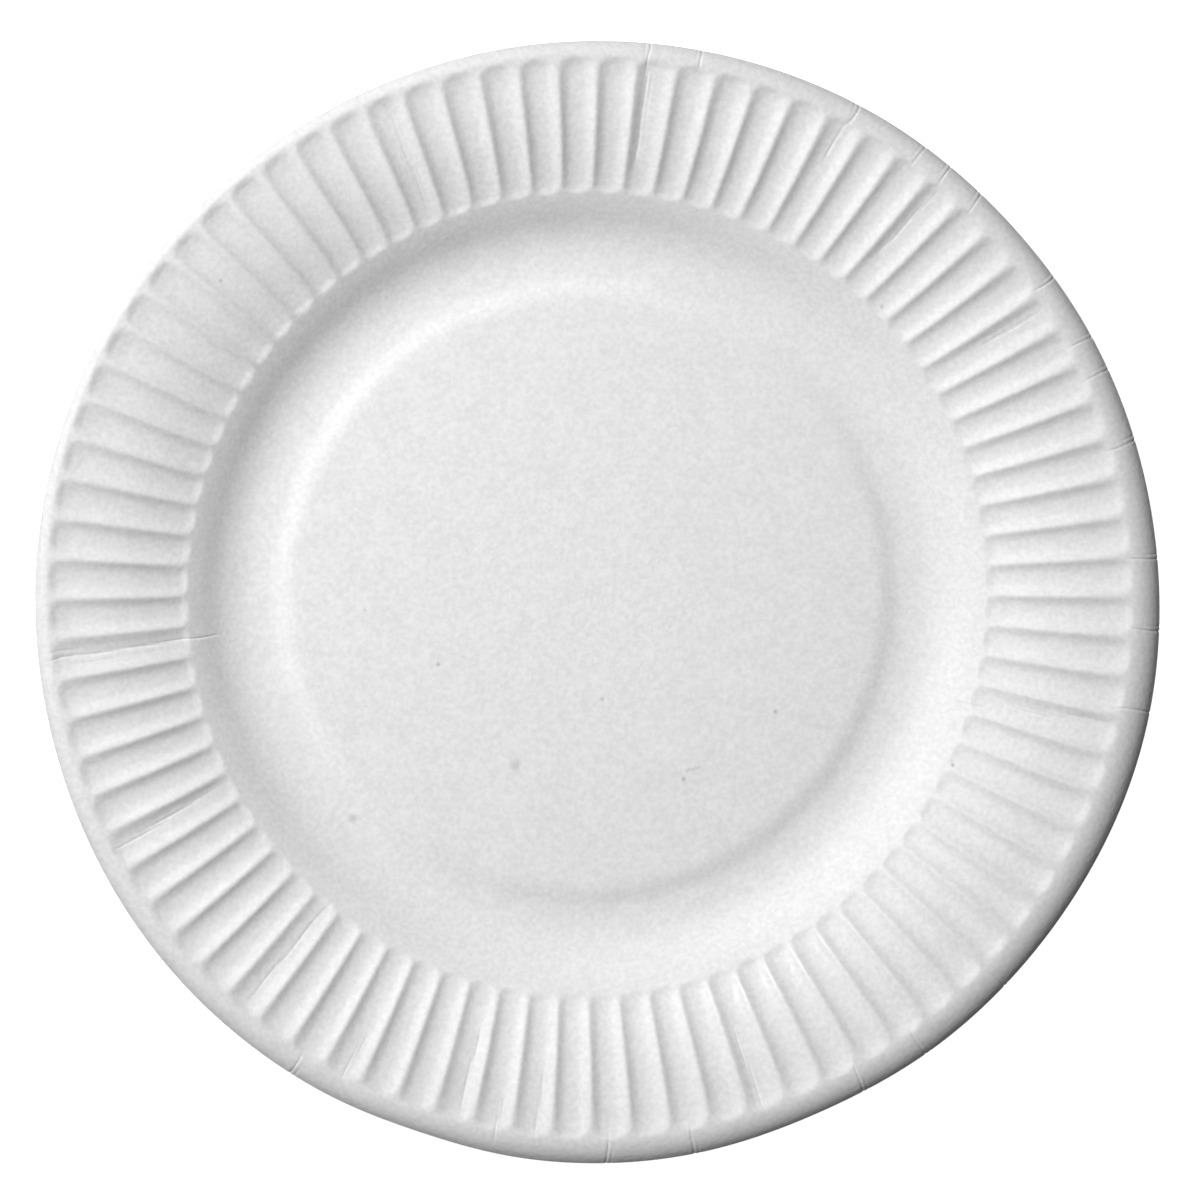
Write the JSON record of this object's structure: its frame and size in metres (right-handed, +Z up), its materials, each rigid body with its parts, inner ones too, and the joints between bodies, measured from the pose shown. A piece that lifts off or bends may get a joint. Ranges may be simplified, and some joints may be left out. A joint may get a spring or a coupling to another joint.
{
  "type": "paper plate",
  "caption": "Round disposable plate pressed from white board, with a raised panel, a sloping wall, a fluted rim and a rolled lip.",
  "frame": {"origin": "centre of the ring that the plate rests on, at floor height", "axes": "+Z up through the middle of the plate; the plate is round, so +X points anywhere across it"},
  "size_m": [0.228, 0.228, 0.0144],
  "materials": {
    "white_board": "white pressed board, fine fibre grain, matt with a slight sheen"
  },
  "bodies": {
    "root": {"paper_plate": "white_board"}
  },
  "joints": []
}
